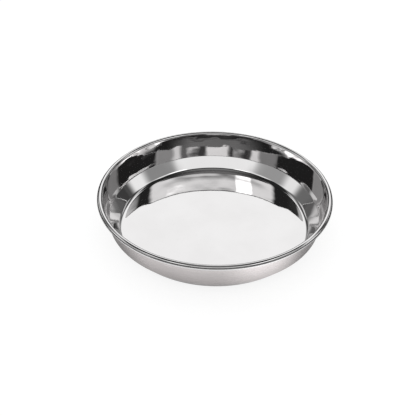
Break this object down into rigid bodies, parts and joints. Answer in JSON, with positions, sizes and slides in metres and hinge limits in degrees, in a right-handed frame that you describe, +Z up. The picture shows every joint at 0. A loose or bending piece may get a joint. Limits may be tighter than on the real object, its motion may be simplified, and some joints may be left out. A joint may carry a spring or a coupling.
{
  "type": "serving plate",
  "caption": "Round deep serving plate of drawn stainless sheet with a flat floor, sloping bevel, steep wall and a rim rolled over a wire.",
  "frame": {"origin": "under the middle of the floor, on the surface that the plate stands on", "axes": "+Z up along the plate's axis of revolution, out of its open side; X and Y in the table plane"},
  "size_m": [0.2, 0.2, 0.0365],
  "materials": {
    "polished_sheet": "mirror polished inside and over the rim, satin brushed outside",
    "steel_wire": "drawn wire, dull"
  },
  "bodies": {
    "root": {"drawn_dish": "polished_sheet", "rim_wire": "steel_wire"}
  },
  "joints": []
}
